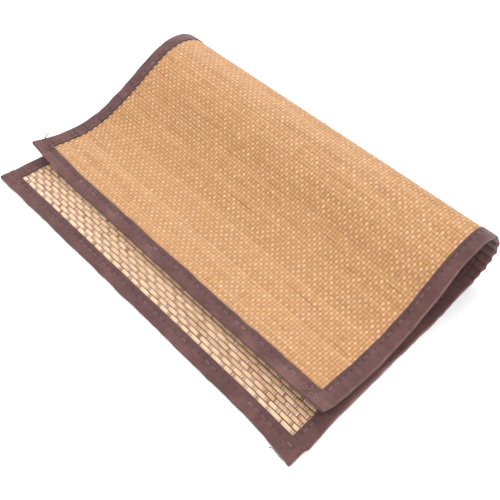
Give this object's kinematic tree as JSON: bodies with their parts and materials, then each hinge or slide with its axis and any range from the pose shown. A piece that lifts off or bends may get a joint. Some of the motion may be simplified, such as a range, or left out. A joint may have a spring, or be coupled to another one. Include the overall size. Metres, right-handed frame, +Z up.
{
  "type": "folded bamboo placemat",
  "caption": "Woven bamboo slat placemat with cotton tape sewn round its edges, folded over once with an open loop at the fold.",
  "frame": {"origin": "middle of the base of the mat's bounding box, on the surface that it lies on", "axes": "+X along the slats and the fold, from the left side to the right; +Y from the free edges to the fold; +Z up"},
  "size_m": [0.3068, 0.2014, 0.052],
  "materials": {
    "bamboo": "smooth split bamboo, satin",
    "cotton_tape": "matt woven cotton"
  },
  "bodies": {
    "root": {"bamboo_panel": "bamboo", "binding_side_left": "cotton_tape", "binding_side_right": "cotton_tape", "binding_end_lower": "cotton_tape", "binding_end_upper": "cotton_tape"}
  },
  "joints": []
}
